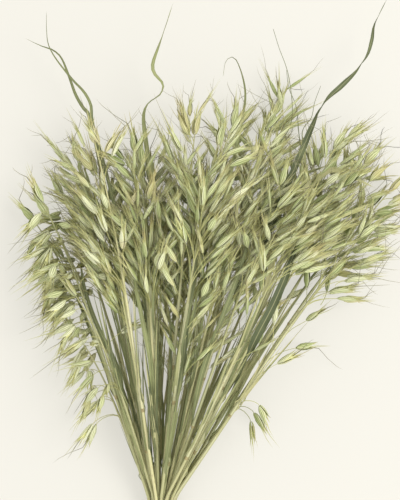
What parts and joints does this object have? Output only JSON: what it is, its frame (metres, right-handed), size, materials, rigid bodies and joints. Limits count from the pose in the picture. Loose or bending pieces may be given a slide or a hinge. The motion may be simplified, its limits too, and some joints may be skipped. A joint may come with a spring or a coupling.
{
  "type": "dried oat bundle",
  "caption": "Bundle of dried oat stems with open, drooping seed heads and a few curled leaves, tied with twine and lying on a surface.",
  "frame": {"origin": "on the surface that the bundle lies on, under the middle of the twine binding", "axes": "+Y along the bundle towards the seed heads, +Z up, +X to the right as seen from above with +Y up"},
  "size_m": [0.3748, 0.6363, 0.1253],
  "materials": {
    "oat_sage": "dry, matte, pale sage green",
    "oat_straw": "dry, matte, straw yellow",
    "twine": "rough plant-fibre twine"
  },
  "bodies": {
    "root": {"oat_01": "oat_sage", "oat_02": "oat_sage", "oat_03": "oat_straw", "oat_04": "oat_sage", "oat_05": "oat_sage", "oat_06": "oat_sage", "oat_07": "oat_sage", "oat_08": "oat_straw", "oat_09": "oat_sage", "oat_10": "oat_sage", "oat_11": "oat_sage", "oat_12": "oat_sage", "oat_13": "oat_straw", "oat_14": "oat_sage", "oat_15": "oat_sage", "oat_16": "oat_sage", "oat_17": "oat_sage", "oat_18": "oat_straw", "oat_19": "oat_sage", "oat_20": "oat_sage", "oat_21": "oat_sage", "oat_22": "oat_sage", "oat_23": "oat_straw", "oat_24": "oat_sage", "oat_25": "oat_sage", "oat_26": "oat_sage", "oat_27": "oat_sage", "oat_28": "oat_straw", "oat_29": "oat_sage", "oat_30": "oat_sage", "oat_31": "oat_sage", "oat_32": "oat_sage", "oat_33": "oat_straw", "oat_34": "oat_sage", "oat_35": "oat_sage", "oat_36": "oat_sage", "oat_37": "oat_sage", "oat_38": "oat_straw", "oat_39": "oat_sage", "oat_40": "oat_sage", "oat_41": "oat_sage", "oat_42": "oat_sage", "oat_43": "oat_straw", "oat_44": "oat_sage", "oat_45": "oat_sage", "oat_46": "oat_sage", "binding": "twine"}
  },
  "joints": []
}
